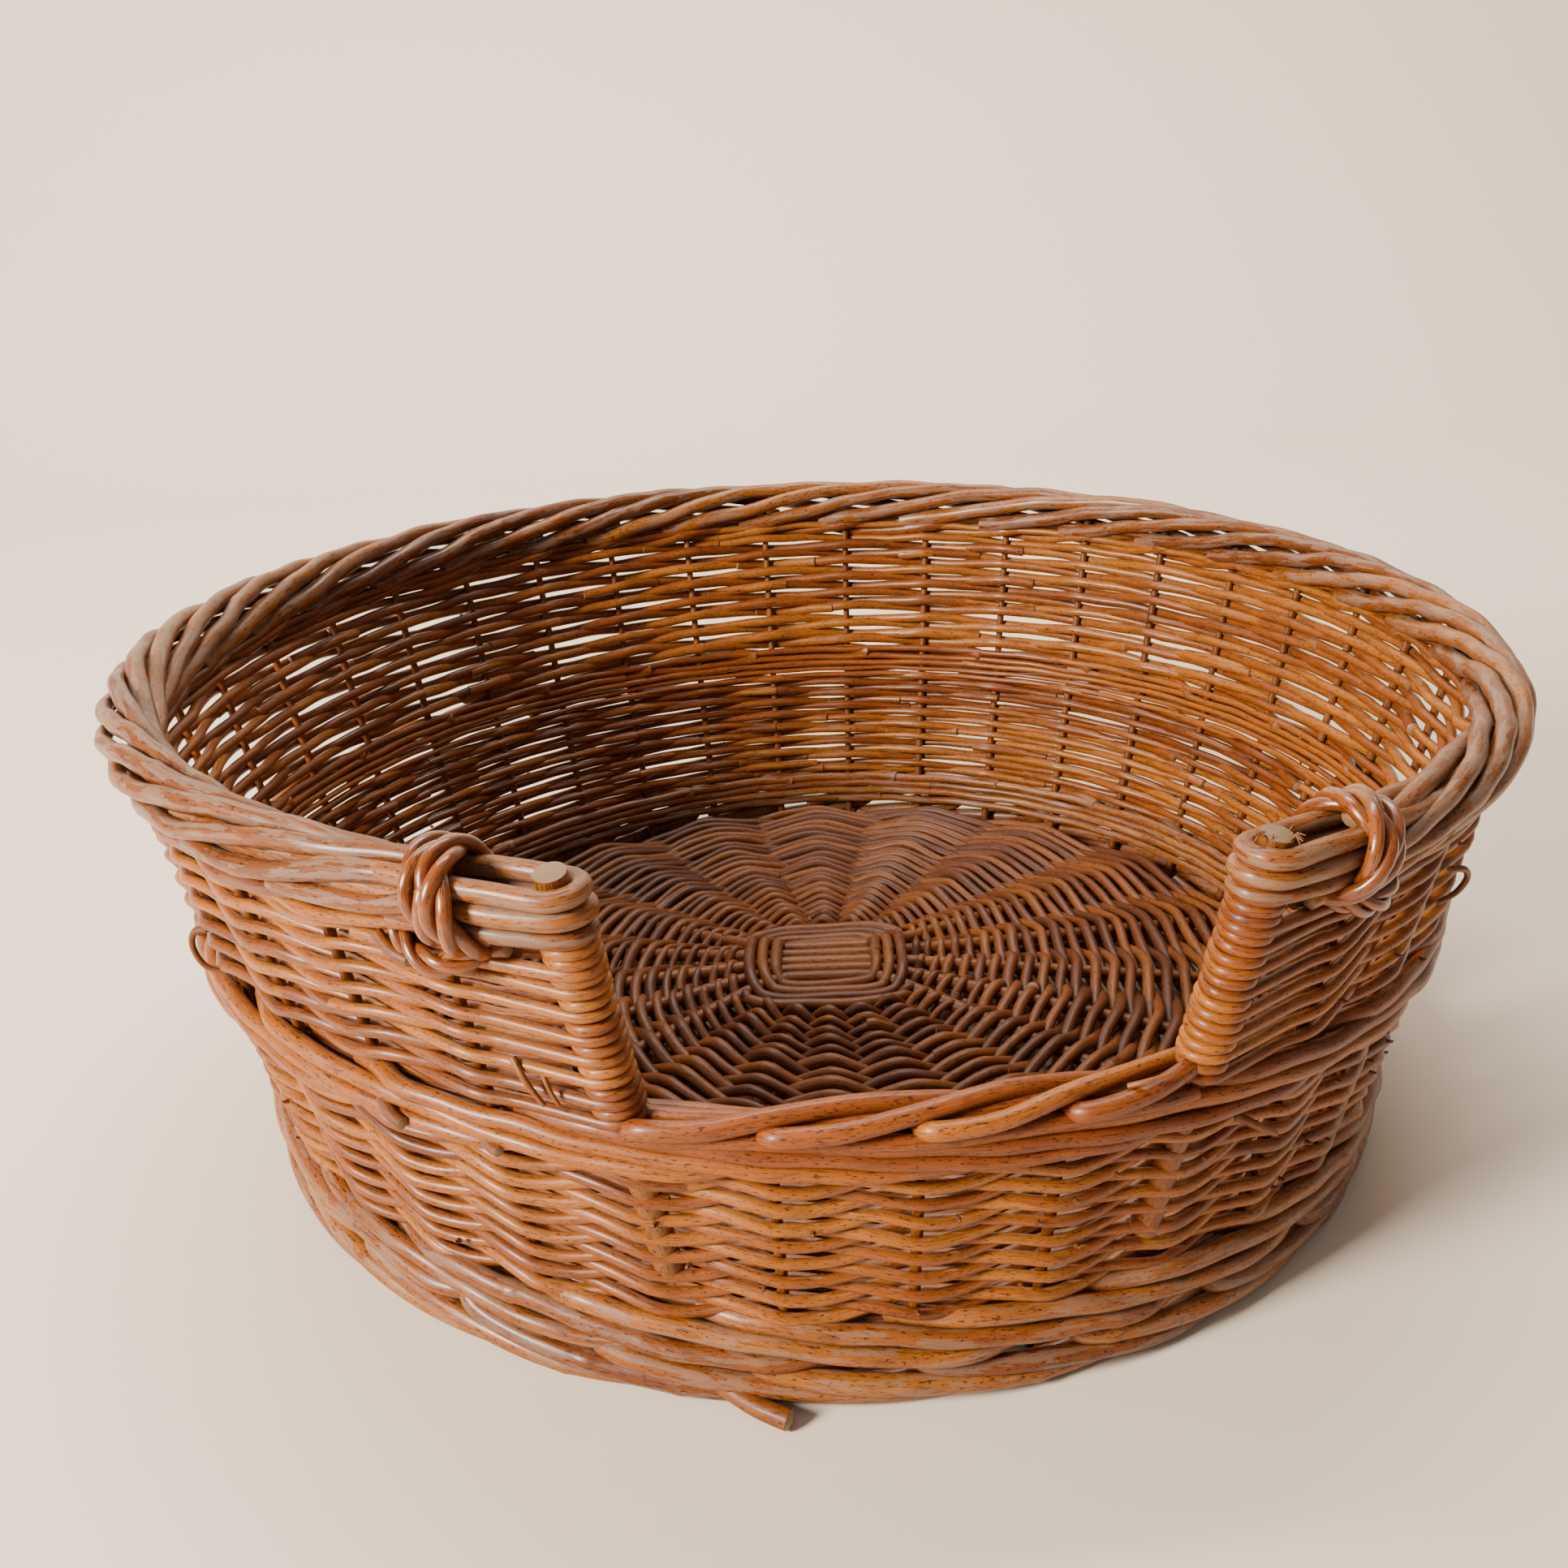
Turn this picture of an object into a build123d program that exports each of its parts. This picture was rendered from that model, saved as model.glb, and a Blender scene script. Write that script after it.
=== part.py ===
from build123d import *
import math
import os

os.makedirs("parts", exist_ok=True)

# Round willow pet basket with a low front entry. Millimetres, +Z up.
# The entry faces -Y and the back of the basket is at +Y. Everything is drawn about the axis of
# the round foot, then moved in Y so that the origin is under the middle of the whole basket.
# Azimuths are degrees from -Y, positive towards +X, seen from that axis.

# ---- driving dimensions ----
FOOT_RADIUS = 261.5  # radius of the wall's middle surface, carried down to the floor
WALL_SLOPE = 0.216  # outward lean of the side stakes, radius gained per unit of height
STAKE_D = 5.4  # side stakes
STAKE_STEP = 10  # azimuth step between side stakes
STAKE_FOOT_Z = 12.0
WEAVE_HALF = 7.8  # half the thickness of the randed wall, two weavers and a stake
WALE_HALF = 10.0  # half the thickness of the waled rings, which use thicker rods
GAP = 0.2  # clearance between neighbouring pieces
HOLE_GAP = 0.15  # clearance on the radius round a stake

FOOT_BORDER_TOP = 21.0
FOOT_WALE_TOP = 43.0
LOWER_WEAVE_TOP = 117.0
MID_WALE_TOP = 136.0
SILL_TOP = 147.0
UPPER_WEAVE_TOP = 201.0
TOP_WALE_TOP = 212.4
RIM_Z = 223.0  # middle of the rim border
RIM_WIDTH = 24.0
RIM_HEIGHT = 21.0
RIM_CORNER = 8.0

POST_D = 11.0  # stout sticks at the two ends of the entry
POST_FOOT_Z = 60.0
POST_TOP_Z = 236.0
POST_FOOT_AZIMUTH = 18.6
POST_TOP_AZIMUTH = 21.3
WRAP_D = 17.0  # post with the weavers turned round it

KNOT_AZIMUTH = 27.9
KNOT_LOOP_R = 18.8  # radius of the binding's loop round the border
KNOT_ROD_R = 5.4  # half the thickness of the twisted binding rod

BASE_STICK_D = 7.0
BASE_TURN = -5.0  # azimuth of the front stick of the base cross
STICKS_EACH_WAY = 5
STICK_PITCH = 8.0
SPOKE_STEP = 18.0
CROSS_HALF = 28.0  # the sticks run straight this far from the middle
CROSS_Z = 38.0
CROSS_LIFT = 3.6  # half the level difference between the two layers of sticks
STICK_END_R = 253.2
STICK_END_Z = 18.0
BINDING_R = (36.0, 48.0)
BASE_WEAVE_R = (48.2, 251.5)


def wall_radius(z):
    return FOOT_RADIUS + WALL_SLOPE * z


def polar(azimuth, radius, z):
    turn = math.radians(azimuth)
    return Vector(radius * math.sin(turn), -radius * math.cos(turn), z)


pieces = {}


def keep(piece, name):
    pieces[name] = piece


# ---- axes of the posts, and of the side stakes ----
POST_LENGTH = (polar(POST_TOP_AZIMUTH, wall_radius(POST_TOP_Z), POST_TOP_Z)
               - polar(POST_FOOT_AZIMUTH, wall_radius(POST_FOOT_Z), POST_FOOT_Z)).length


def post_azimuth(z):
    share = (z - POST_FOOT_Z) / (POST_TOP_Z - POST_FOOT_Z)
    return POST_FOOT_AZIMUTH + share * (POST_TOP_AZIMUTH - POST_FOOT_AZIMUTH)


def post_plane(side, z=POST_FOOT_Z):
    foot = polar(side * POST_FOOT_AZIMUTH, wall_radius(POST_FOOT_Z), POST_FOOT_Z)
    top = polar(side * POST_TOP_AZIMUTH, wall_radius(POST_TOP_Z), POST_TOP_Z)
    share = (z - POST_FOOT_Z) / (POST_TOP_Z - POST_FOOT_Z)
    return Plane(origin=foot + (top - foot) * share, z_dir=top - foot)


def stake_plane(azimuth, z=STAKE_FOOT_Z):
    lean = polar(azimuth, WALL_SLOPE, 1.0)
    return Plane(origin=polar(azimuth, wall_radius(z), z), z_dir=lean)


LEAN_LENGTH = math.hypot(1.0, WALL_SLOPE)  # length along a stake per unit of height
SIDES = {"right": 1, "left": -1}
SHORT_STAKES = [-10, 0, 10]
LONG_STAKES = list(range(30, 331, STAKE_STEP))
STAKE_TOP_Z = 217.0
SHORT_STAKE_TOP_Z = 140.0


def cone_band(z0, z1, half):
    # section of a ring that follows the leaning wall
    return [(wall_radius(z0) - half, z0), (wall_radius(z0) + half, z0),
            (wall_radius(z1) + half, z1), (wall_radius(z1) - half, z1)]


# ---- base: two layers of sticks crossed in the middle and fanned out as spokes ----
def stick_points(layer, index):
    # from the cross's middle outwards, in the turned frame of the cross
    fan = math.radians(index * SPOKE_STEP)
    offset = index * STICK_PITCH
    lift = CROSS_Z + (CROSS_LIFT if layer == "across" else -CROSS_LIFT)
    ends = []
    for sign in (-1, 1):
        tip = (sign * STICK_END_R * math.cos(fan), STICK_END_R * math.sin(fan), STICK_END_Z)
        bend = (sign * CROSS_HALF, offset, lift)
        ends.append((bend, tip))
    heading = math.radians(BASE_TURN + (0 if layer == "across" else 90))
    turned = []
    for pair in ends:
        turned.append([Vector(x * math.cos(heading) - y * math.sin(heading),
                              x * math.sin(heading) + y * math.cos(heading), z) for x, y, z in pair])
    return turned


def rod_plane(start, end):
    return Plane(origin=start, z_dir=end - start)


spokes = []
for layer in ("across", "along"):
    for index in range(-(STICKS_EACH_WAY // 2), STICKS_EACH_WAY // 2 + 1):
        (bend_a, tip_a), (bend_b, tip_b) = stick_points(layer, index)
        with BuildPart() as base_stick:
            for start, end in ((bend_a, bend_b), (bend_a, tip_a), (bend_b, tip_b)):
                with BuildSketch(rod_plane(start, end)):
                    Circle(BASE_STICK_D / 2)
                extrude(amount=(end - start).length)
            with Locations(bend_a, bend_b):
                Sphere(BASE_STICK_D / 2)
        keep(base_stick.part, f"base_stick_{layer}_{index + STICKS_EACH_WAY // 2 + 1}")
        spokes.append((bend_a, tip_a))
        spokes.append((bend_b, tip_b))


def base_levels(radius):
    # lowest and highest face of the base weave at a radius
    share = (radius - CROSS_HALF) / (STICK_END_R - CROSS_HALF)
    upper = CROSS_Z + CROSS_LIFT + share * (STICK_END_Z - CROSS_Z - CROSS_LIFT)
    lower = CROSS_Z - CROSS_LIFT + share * (STICK_END_Z - CROSS_Z + CROSS_LIFT)
    return lower - 7.4, upper + 7.4


def base_section(inner, outer):
    low_in, high_in = base_levels(inner)
    low_out, high_out = base_levels(outer)
    return [(inner, low_in), (outer, low_out), (outer, high_out), (inner, high_in)]


with BuildPart() as base_binding:
    with BuildSketch(Plane.XZ):
        with BuildLine():
            Polyline(*base_section(*BINDING_R), close=True)
        make_face()
    revolve(axis=Axis.Z)
    for bend, tip in spokes:
        with BuildSketch(rod_plane(bend, tip)):
            Circle(BASE_STICK_D / 2 + HOLE_GAP)
        extrude(amount=(tip - bend).length, mode=Mode.SUBTRACT)
keep(base_binding.part, "base_binding")

with BuildPart() as base_weave:
    with BuildSketch(Plane.XZ):
        with BuildLine():
            Polyline(*base_section(*BASE_WEAVE_R), close=True)
        make_face()
    revolve(axis=Axis.Z)
    for bend, tip in spokes:
        with BuildSketch(rod_plane(bend, tip)):
            Circle(BASE_STICK_D / 2 + HOLE_GAP)
        extrude(amount=(tip - bend).length, mode=Mode.SUBTRACT)
keep(base_weave.part, "base_weave")

# ---- side stakes ----
for number, azimuth in enumerate(SHORT_STAKES):
    with BuildPart() as short_stake:
        with BuildSketch(stake_plane(azimuth)):
            Circle(STAKE_D / 2)
        extrude(amount=(SHORT_STAKE_TOP_Z - STAKE_FOOT_Z) * LEAN_LENGTH)
    keep(short_stake.part, f"front_stake_{number + 1}")

for number, azimuth in enumerate(LONG_STAKES):
    with BuildPart() as side_stake:
        with BuildSketch(stake_plane(azimuth)):
            Circle(STAKE_D / 2)
        extrude(amount=(STAKE_TOP_Z - STAKE_FOOT_Z) * LEAN_LENGTH)
    keep(side_stake.part, f"side_stake_{number + 1:02d}")


def stake_holes(azimuths, top_z):
    # clears the stakes out of the ring being built
    for azimuth in azimuths:
        with BuildSketch(stake_plane(azimuth)) as hole:
            Circle(STAKE_D / 2 + HOLE_GAP)
        extrude(hole.sketch, amount=(top_z - STAKE_FOOT_Z) * LEAN_LENGTH, mode=Mode.SUBTRACT)


def post_holes(diameter):
    for side in SIDES.values():
        with BuildSketch(post_plane(side)) as hole:
            Circle(diameter / 2 + HOLE_GAP)
        extrude(hole.sketch, amount=POST_LENGTH + 10, mode=Mode.SUBTRACT)


def entry_cut(clearance):
    # removes the front of a ring between the two leaning posts
    sections = []
    for z in (MID_WALE_TOP - 1, 260.0):
        half = math.radians(post_azimuth(z)) + clearance / wall_radius(z)
        reach = 420.0
        side_x = reach * math.tan(half)
        with BuildSketch(Plane.XY.offset(z)) as sector:
            Polygon((0, 0), (-side_x, -reach), (side_x, -reach), align=None)
        sections.append(sector.sketch)
    loft(sections, ruled=True, mode=Mode.SUBTRACT)


# ---- foot and lower wall, complete rings ----
with BuildPart() as foot_border:
    with BuildSketch(Plane.XZ):
        with Locations((265.6, FOOT_BORDER_TOP / 2)):
            RectangleRounded(23.0, FOOT_BORDER_TOP, 8.0)
    revolve(axis=Axis.Z)
    stake_holes(SHORT_STAKES + LONG_STAKES, 30.0)
keep(foot_border.part, "foot_border")

with BuildPart() as foot_wale:
    with BuildSketch(Plane.XZ):
        with BuildLine():
            Polyline(*cone_band(FOOT_BORDER_TOP + GAP, FOOT_WALE_TOP, WALE_HALF), close=True)
        make_face()
    revolve(axis=Axis.Z)
    stake_holes(SHORT_STAKES + LONG_STAKES, 60.0)
keep(foot_wale.part, "foot_wale")

with BuildPart() as lower_weave:
    with BuildSketch(Plane.XZ):
        with BuildLine():
            Polyline(*cone_band(FOOT_WALE_TOP + GAP, LOWER_WEAVE_TOP, WEAVE_HALF), close=True)
        make_face()
    revolve(axis=Axis.Z)
    stake_holes(SHORT_STAKES + LONG_STAKES, 120.0)
    post_holes(POST_D)
keep(lower_weave.part, "lower_weave")

with BuildPart() as mid_wale:
    with BuildSketch(Plane.XZ):
        with BuildLine():
            Polyline(*cone_band(LOWER_WEAVE_TOP + GAP, MID_WALE_TOP, WALE_HALF), close=True)
        make_face()
    revolve(axis=Axis.Z)
    stake_holes(SHORT_STAKES + LONG_STAKES, 145.0)
    post_holes(POST_D)
keep(mid_wale.part, "mid_wale")

# ---- sill: the low border across the entry, between the posts ----
SILL_HALF_ANGLE = post_azimuth(SILL_TOP) - math.degrees((POST_D / 2 + 0.6) / wall_radius(SILL_TOP))
with BuildPart() as sill_border:
    with BuildSketch(Plane.YZ):
        with Locations((-wall_radius(SILL_TOP) + 1.0, (MID_WALE_TOP + GAP + SILL_TOP) / 2)):
            RectangleRounded(21.0, SILL_TOP - MID_WALE_TOP - GAP, 4.5)
    revolve(axis=Axis.Z, revolution_arc=SILL_HALF_ANGLE)
    mirror(about=Plane.YZ)
    stake_holes(SHORT_STAKES, 160.0)
    post_holes(POST_D)
keep(sill_border.part, "sill_border")

# ---- upper wall, open at the entry ----
def knot_plane(side):
    # the border's direction is the plane's normal
    return Plane(origin=polar(side * KNOT_AZIMUTH, wall_radius(RIM_Z), RIM_Z),
                 x_dir=polar(side * KNOT_AZIMUTH, 1.0, 0.0),
                 z_dir=polar(side * KNOT_AZIMUTH + 90, 1.0, 0.0))


def knot_clearance():
    for side in SIDES.values():
        with Locations(knot_plane(side).location):
            Torus(KNOT_LOOP_R, KNOT_ROD_R + GAP, mode=Mode.SUBTRACT)


with BuildPart() as upper_weave:
    with BuildSketch(Plane.XZ):
        with BuildLine():
            Polyline(*cone_band(MID_WALE_TOP + GAP, UPPER_WEAVE_TOP, WEAVE_HALF), close=True)
        make_face()
    revolve(axis=Axis.Z)
    entry_cut(WRAP_D / 2 + 0.9)
    stake_holes(LONG_STAKES, 230.0)
    knot_clearance()
keep(upper_weave.part, "upper_weave")

with BuildPart() as top_wale:
    with BuildSketch(Plane.XZ):
        with BuildLine():
            Polyline(*cone_band(UPPER_WEAVE_TOP + GAP, TOP_WALE_TOP - GAP, WALE_HALF), close=True)
        make_face()
    revolve(axis=Axis.Z)
    entry_cut(WRAP_D / 2 + 0.9)
    stake_holes(LONG_STAKES, 230.0)
    knot_clearance()
keep(top_wale.part, "top_wale")

with BuildPart() as rim_border:
    with BuildSketch(Plane.XZ):
        with Locations((wall_radius(RIM_Z), RIM_Z)):
            RectangleRounded(RIM_WIDTH, RIM_HEIGHT, RIM_CORNER)
    revolve(axis=Axis.Z)
    entry_cut(-12.0)
    stake_holes(LONG_STAKES, STAKE_TOP_Z + 0.2)
    post_holes(POST_D)
keep(rim_border.part, "rim_border")

# ---- the two ends of the entry ----
for name, side in SIDES.items():
    with BuildPart() as end_post:
        with BuildSketch(post_plane(side)):
            Circle(POST_D / 2)
        extrude(amount=POST_LENGTH)
        chamfer(end_post.edges().group_by(Axis.Z)[-1], 0.6)
    keep(end_post.part, f"end_post_{name}")

    with BuildPart() as post_wrap:
        with BuildSketch(post_plane(side, SILL_TOP + 1.0)):
            Circle(WRAP_D / 2)
            Circle(POST_D / 2 + HOLE_GAP, mode=Mode.SUBTRACT)
        extrude(amount=(TOP_WALE_TOP - SILL_TOP - 3.0) * LEAN_LENGTH)
    keep(post_wrap.part, f"post_wrap_{name}")

    with BuildPart() as rim_binding:
        with Locations(knot_plane(side).location):
            Torus(KNOT_LOOP_R, KNOT_ROD_R)
    keep(rim_binding.part, f"rim_binding_{name}")

# ---- placing: the rim reaches furthest both ways in Y ----
extent = rim_border.part.bounding_box()
middle_y = (extent.min.Y + extent.max.Y) / 2
for name, piece in pieces.items():
    placed = piece.moved(Location((0, -middle_y, 0)))
    placed.label = name
    export_step(placed, f"parts/{name}.step")
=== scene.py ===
import bpy
import math
import numpy as np
from mathutils import Matrix, Vector


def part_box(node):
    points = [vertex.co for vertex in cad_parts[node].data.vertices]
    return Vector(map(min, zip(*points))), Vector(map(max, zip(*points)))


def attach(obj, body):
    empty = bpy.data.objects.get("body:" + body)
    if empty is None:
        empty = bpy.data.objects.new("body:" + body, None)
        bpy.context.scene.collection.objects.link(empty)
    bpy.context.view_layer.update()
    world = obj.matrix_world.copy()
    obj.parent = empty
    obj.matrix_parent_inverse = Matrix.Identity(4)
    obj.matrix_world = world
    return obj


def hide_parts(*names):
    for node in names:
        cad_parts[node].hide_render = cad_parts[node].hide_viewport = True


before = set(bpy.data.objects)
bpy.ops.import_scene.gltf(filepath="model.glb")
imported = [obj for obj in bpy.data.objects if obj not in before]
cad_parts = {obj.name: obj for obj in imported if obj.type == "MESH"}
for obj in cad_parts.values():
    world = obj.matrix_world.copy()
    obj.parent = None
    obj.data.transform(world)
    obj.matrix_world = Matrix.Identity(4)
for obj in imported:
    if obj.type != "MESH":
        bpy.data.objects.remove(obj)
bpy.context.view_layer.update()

# ---------------------------------------------------------------- sizes, in millimetres
# Drawn about the axis of the foot: azimuth 0 is the entry at -Y, positive towards +X.
foot_low, foot_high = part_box("foot_border")
AXIS_X = (foot_low.x + foot_high.x) / 2 * 1000
AXIS_Y = (foot_low.y + foot_high.y) / 2 * 1000
AXIS_TO_WALL = 261.5              # radius of the stakes' line, carried down to the floor
SLOPE = 0.216                     # radius gained per unit of height
STEP = 10.0                       # degrees between side stakes
STAKE_R = 2.3
STAKE_FOOT = 12.0                 # height of the stakes' lower ends
ROUND = 36                        # steps of a stake in one round of the wall
VIEW_TURN = math.radians(4.5)     # the camera stands this far round from straight in front


def top_of(node):
    """Height of a node's top, in millimetres."""
    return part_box(node)[1].z * 1000


Z_FOOT = top_of("foot_border")
Z_FOOT_WALE = top_of("foot_wale")
Z_LOWER = top_of("lower_weave")
Z_MID = top_of("mid_wale")
Z_SILL = top_of("sill_border")
Z_UPPER = top_of("upper_weave")
Z_TOP_WALE = top_of("top_wale")
Z_RIM = top_of("rim_border") - 10.5
Z_POST = top_of("end_post_left")
RNG = np.random.default_rng(20240611)


def wall_r(z):
    """Radius of the stakes' line at height z."""
    return AXIS_TO_WALL + SLOPE * np.asarray(z, float)


def polar(azimuth, radius, z):
    """Points from azimuths in degrees, radii and heights."""
    t = np.radians(azimuth)
    return np.stack(np.broadcast_arrays(radius * np.sin(t), -radius * np.cos(t), z), -1)


def warp(p):
    """The basket is hand made: a little out of round, higher at the left, its middle band low at the back."""
    r = np.hypot(p[:, 0], p[:, 1])
    th = np.arctan2(p[:, 1], p[:, 0]) + VIEW_TURN
    share = np.clip(p[:, 2] / 235.0, 0, 1)
    oval = -0.015 * np.cos(2 * th) + 0.018 * np.sin(2 * th)
    three_sided = -0.017 * np.cos(3 * th) - 0.008 * np.sin(3 * th)
    grow = (oval + three_sided) * 0.55
    towards_back = (1 + p[:, 1] / np.maximum(r, 1)) / 2
    sag = np.interp(p[:, 2], [Z_FOOT_WALE, 126, Z_TOP_WALE], [0, 1, 0]) * towards_back
    lift = -7.0 * share ** 2 * np.cos(th) - 11.0 * sag
    q = p.copy()
    q[:, 0] = p[:, 0] * (1 + grow)
    q[:, 1] = p[:, 1] * (1 + grow)
    q[:, 2] = p[:, 2] + lift * (r > 150)
    return q


# ---------------------------------------------------------------- rods
class Bundle:
    """Willow rods collected into one mesh, with each rod's tint and its coordinates for the material."""

    def __init__(self, name, slot, nodes=()):
        self.name, self.slot, self.nodes = name, slot, nodes
        self.co, self.faces, self.tint, self.rodco, self.end = [], [], [], [], []
        self.count = 0

    def rod(self, pts, r0, r1, ref=None, sides=10, tint=None, wobble=0.014,
            ends=(1, 1), knots=0.0, sway=0.0):
        """A rod along pts, radius r0 to r1; ends say how far each cut end bulges."""
        pts = np.asarray(pts, float)
        n = len(pts)
        seg = np.linalg.norm(np.diff(pts, axis=0), axis=1)
        s = np.concatenate([[0], np.cumsum(seg)])
        if sway > 0:
            push = np.zeros_like(pts)
            for wave in (38.0, 71.0, 133.0):
                push += np.sin(s[:, None] * 6.283 / (wave * RNG.uniform(0.85, 1.2)) + RNG.random(3) * 6.283)
            pts = pts + push * np.array([0.5, 0.5, 0.8]) * sway * 0.6
        rad = r0 + (r1 - r0) * s / max(s[-1], 1e-6)
        ph = RNG.random(3) * 6.28
        rad = rad * (1 + wobble * np.sin(s / 9.0 + ph[0]) + wobble * np.sin(s / 23.0 + ph[1]))
        for _ in range(RNG.poisson(knots * s[-1] / 100.0)):
            at = RNG.random() * s[-1]
            rad = rad * (1 + RNG.uniform(0.06, 0.16) * np.exp(-((s - at) / 2.6) ** 2))
        tan = np.gradient(pts, axis=0)
        tan /= np.linalg.norm(tan, axis=1)[:, None] + 1e-12
        if ref is None:
            a = np.array([0, 0, 1.0]) if abs(tan[0, 2]) < 0.8 else np.array([1.0, 0, 0])
            nor = np.zeros_like(pts)
            v = a - tan[0] * (a @ tan[0])
            nor[0] = v / np.linalg.norm(v)
            for i in range(1, n):
                v = nor[i - 1] - tan[i] * (nor[i - 1] @ tan[i])
                nor[i] = v / (np.linalg.norm(v) + 1e-12)
        else:
            ref = np.broadcast_to(ref, pts.shape)
            nor = ref - tan * (ref * tan).sum(1)[:, None]
            nor /= np.linalg.norm(nor, axis=1)[:, None] + 1e-12
        bi = np.cross(tan, nor)
        ang = np.arange(sides) * 2 * math.pi / sides
        ca, sa = np.cos(ang), np.sin(ang)
        ring = nor[:, None] * ca[None, :, None] + bi[:, None] * sa[None, :, None]
        v = pts[:, None] + ring * rad[:, None, None]
        tint = RNG.random() if tint is None else tint
        base = self.count
        seed = RNG.random() * 200
        rc = np.stack(np.broadcast_arrays(ca[None] * 2 + seed, sa[None] * 2, (s[:, None] * 0.1 + seed)), -1)
        self.co.append(v.reshape(-1, 3))
        self.rodco.append(rc.reshape(-1, 3))
        self.tint.append(np.full(n * sides, tint))
        self.end.append(np.zeros(n * sides))
        i = np.arange(n - 1)[:, None] * sides
        j = np.arange(sides)[None]
        k = (j + 1) % sides
        quad = [base + i + j, base + i + k, base + i + sides + k, base + i + sides + j]
        self.faces.append(np.stack(quad, -1).reshape(-1, 4))
        self.count += n * sides
        for which, at, sign in ((0, 0, -1), (1, n - 1, 1)):
            # a separate cap keeps the cut edge crisp
            inner = v[at] + tan[at] * sign * 0.02
            mid = pts[at] + tan[at] * sign * (0.35 * rad[at] * ends[which])
            bulge = tan[at] * sign * 0.25 * rad[at] * ends[which]
            halfway = pts[at] + (inner - pts[at]) * 0.55 + bulge
            cap = np.concatenate([inner, halfway, mid[None]])
            self.co.append(cap)
            self.rodco.append(np.concatenate([rc[at], rc[at] * 0.6, rc[at][:1] * 0]))
            self.tint.append(np.full(len(cap), tint))
            self.end.append(np.ones(len(cap)))
            b = self.count
            quads, tris = [], []
            for m in range(sides):
                m2 = (m + 1) % sides
                q = [b + m, b + m2, b + sides + m2, b + sides + m]
                t = [b + sides + m, b + sides + m2, b + 2 * sides]
                quads.append(q if sign > 0 else q[::-1])
                tris.append(t if sign > 0 else t[::-1])
            self.faces.append(np.array(quads))
            self.faces.append(np.array(tris))
            self.count += len(cap)

    def build(self, material):
        """The mesh object, in the frame's metres."""
        co = warp(np.concatenate(self.co))
        co = (co + np.array([AXIS_X, AXIS_Y, 0])) / 1000.0
        mesh = bpy.data.meshes.new(self.name)
        loops = np.concatenate([f.reshape(-1) for f in self.faces])
        sizes = np.concatenate([np.full(len(f), f.shape[1]) for f in self.faces])
        mesh.vertices.add(len(co))
        mesh.vertices.foreach_set("co", co.astype(np.float32).ravel())
        mesh.loops.add(len(loops))
        mesh.loops.foreach_set("vertex_index", loops.astype(np.int32))
        mesh.polygons.add(len(sizes))
        starts = np.concatenate([[0], np.cumsum(sizes)[:-1]])
        mesh.polygons.foreach_set("loop_start", starts.astype(np.int32))
        mesh.update(calc_edges=True)
        mesh.polygons.foreach_set("use_smooth", np.ones(len(sizes), bool))
        for label, data in (("tint", self.tint), ("cutend", self.end)):
            a = mesh.attributes.new(label, "FLOAT", "POINT")
            a.data.foreach_set("value", np.concatenate(data).astype(np.float32))
        a = mesh.attributes.new("rodco", "FLOAT_VECTOR", "POINT")
        a.data.foreach_set("vector", np.concatenate(self.rodco).astype(np.float32).ravel())
        mesh.validate()
        mesh.materials.append(material)
        ob = bpy.data.objects.new(self.name, mesh)
        bpy.context.scene.collection.objects.link(ob)
        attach(ob, "root")
        if self.nodes:
            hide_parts(*self.nodes)


# ---------------------------------------------------------------- materials
# the light, mid and dark colours of every willow are multiplied by this
DEEPEN = (0.455, 0.345, 0.145)


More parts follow.
